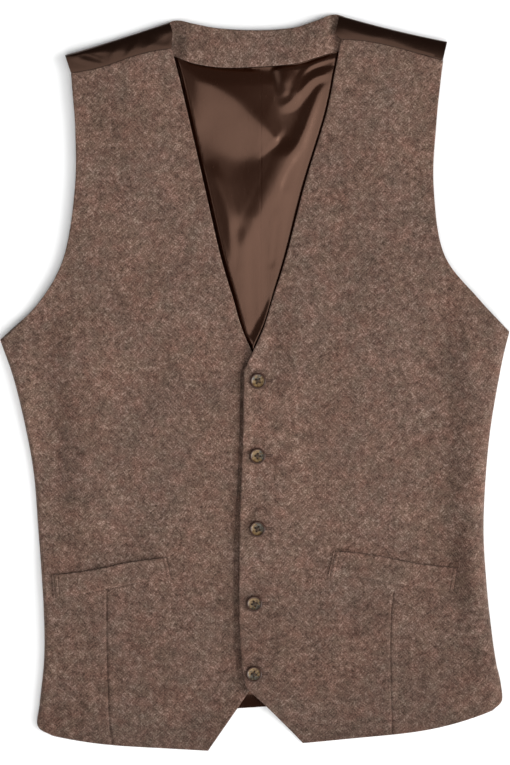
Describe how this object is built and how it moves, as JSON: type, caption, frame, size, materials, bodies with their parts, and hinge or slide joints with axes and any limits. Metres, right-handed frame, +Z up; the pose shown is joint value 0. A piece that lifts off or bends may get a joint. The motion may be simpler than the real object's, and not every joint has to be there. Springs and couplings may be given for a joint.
{
  "type": "suit waistcoat",
  "caption": "Single-breasted tweed suit waistcoat, buttoned and laid flat, with a deep V neck, welt pockets, cut-away hem points and a satin back and lining.",
  "frame": {"origin": "middle of the garment's outline, on the surface that its back lies on", "axes": "+Y from hem to neck, +X towards the wearer's left side, +Z up out of the surface, towards the fronts"},
  "size_m": [0.4847, 0.7005, 0.0135],
  "materials": {
    "tweed": "brown wool tweed with a fine two-way twill, pale and dark flecks and a soft nap",
    "satin": "very dark brown satin of the back and its shoulder strips",
    "lining": "brown satin lining with a soft gloss",
    "horn": "mottled brown horn-look button with a polished rim"
  },
  "bodies": {
    "root": {"front_left": "tweed", "front_right": "tweed", "neck_band": "tweed", "welt_left": "tweed", "welt_right": "tweed", "back_left": "satin", "back_right": "satin", "lining_left": "lining", "lining_right": "lining", "button_1": "horn", "button_2": "horn", "button_3": "horn", "button_4": "horn", "button_5": "horn"}
  },
  "joints": []
}
